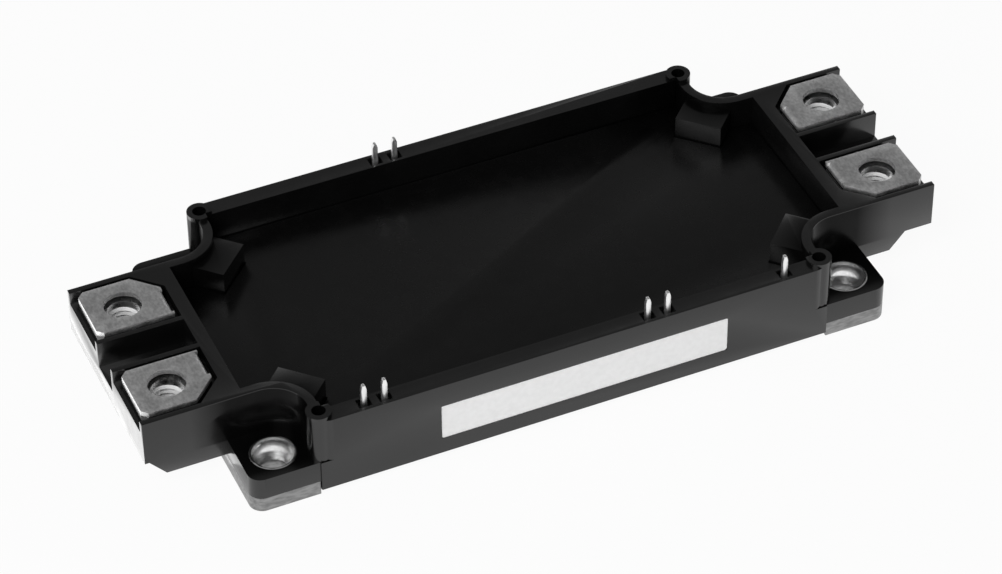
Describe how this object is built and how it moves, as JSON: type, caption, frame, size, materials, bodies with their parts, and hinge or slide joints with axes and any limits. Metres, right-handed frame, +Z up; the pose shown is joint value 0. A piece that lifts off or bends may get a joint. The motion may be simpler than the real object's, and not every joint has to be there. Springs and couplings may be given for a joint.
{
  "type": "dual power transistor module",
  "caption": "Flat dual power transistor module: metal base plate, black moulded frame with sunken lid, screw terminals at both ends and upright control pins.",
  "frame": {"origin": "centre of the base plate's underside, which is the face that lies on the heatsink", "axes": "+X along the module from the DC terminals to the AC terminals, +Y across it towards the side with the two thermistor pins, +Z up away from the heatsink"},
  "size_m": [0.152, 0.062, 0.0208],
  "materials": {
    "nickel_plate": "nickel-plated copper, satin",
    "bush_metal": "turned, satin",
    "frame_plastic": "glass-filled moulding, fine matt",
    "lid_plastic": "glass-filled moulding, smooth matt",
    "glue": "silicone adhesive",
    "label_film": "blank pale film, matt",
    "terminal_metal": "nickel-plated copper strip, satin with fine grain",
    "nut_steel": "zinc-plated steel",
    "pin_metal": "tin-plated copper alloy",
    "solder": "soft solder, dull",
    "copper": "bare copper, etched",
    "ceramic": "alumina, matt",
    "silicon": "metallised silicon",
    "bond_wire": "drawn aluminium wire",
    "thermistor_body": "sintered chip",
    "gel": "clear soft silicone"
  },
  "bodies": {
    "root": {"base_plate": "nickel_plate", "mounting_bushes": "bush_metal", "housing_frame": "frame_plastic", "case_glue": "glue", "lid": "lid_plastic", "front_label": "label_film", "terminal_dc_plus": "terminal_metal", "terminal_dc_minus": "terminal_metal", "terminal_ac_rear": "terminal_metal", "terminal_ac_front": "terminal_metal", "terminal_nuts": "nut_steel", "pin_gate_low": "pin_metal", "pin_emitter_low": "pin_metal", "pin_gate_high": "pin_metal", "pin_emitter_high": "pin_metal", "pin_phase_sense": "pin_metal", "pin_thermistor_a": "pin_metal", "pin_thermistor_b": "pin_metal", "base_solder_left": "solder", "back_copper_left": "copper", "ceramic_left": "ceramic", "circuit_left": "copper", "chip_solder_left": "solder", "igbt_high_left": "silicon", "igbt_low_left": "silicon", "diode_high_left": "silicon", "diode_low_left": "silicon", "emitter_wires_left": "bond_wire", "base_solder_middle": "solder", "back_copper_middle": "copper", "ceramic_middle": "ceramic", "circuit_middle": "copper", "chip_solder_middle": "solder", "igbt_high_middle": "silicon", "igbt_low_middle": "silicon", "diode_high_middle": "silicon", "diode_low_middle": "silicon", "emitter_wires_middle": "bond_wire", "base_solder_right": "solder", "back_copper_right": "copper", "ceramic_right": "ceramic", "circuit_right": "copper", "chip_solder_right": "solder", "igbt_high_right": "silicon", "igbt_low_right": "silicon", "diode_high_right": "silicon", "diode_low_right": "silicon", "emitter_wires_right": "bond_wire", "thermistor": "thermistor_body", "gate_wires": "bond_wire", "link_wires": "bond_wire", "control_wires": "bond_wire", "silicone_gel": "gel"}
  },
  "joints": []
}
